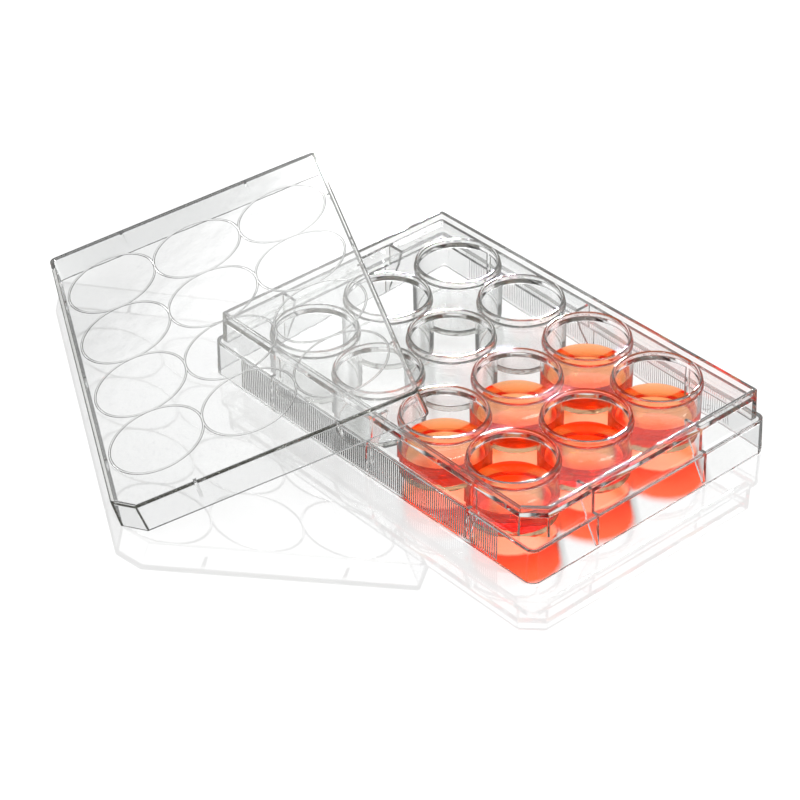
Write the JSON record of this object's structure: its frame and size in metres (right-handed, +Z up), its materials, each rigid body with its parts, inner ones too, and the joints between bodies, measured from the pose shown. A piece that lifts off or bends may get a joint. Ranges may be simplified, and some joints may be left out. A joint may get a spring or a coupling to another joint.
{
  "type": "cell culture well plate",
  "caption": "Clear plastic culture plate with round flat-bottomed wells, some filled with orange-red medium, and its lid taken off and leaning on one corner.",
  "frame": {"origin": "middle of the plate's footprint, on the surface that the plate stands on", "axes": "+X along the plate's long side towards column 1, +Y along its short side from row A to row C, +Z up; the cut corner beside well A1 is at +X, -Y"},
  "size_m": [0.1957, 0.1482, 0.0329],
  "materials": {
    "clear_plastic": "clear, glossy",
    "medium": "clear orange-red liquid"
  },
  "bodies": {
    "root": {"plate": "clear_plastic", "lid": "clear_plastic", "medium_a1": "medium", "medium_b1": "medium", "medium_c1": "medium", "medium_a2": "medium", "medium_b2": "medium", "medium_c2": "medium"}
  },
  "joints": []
}
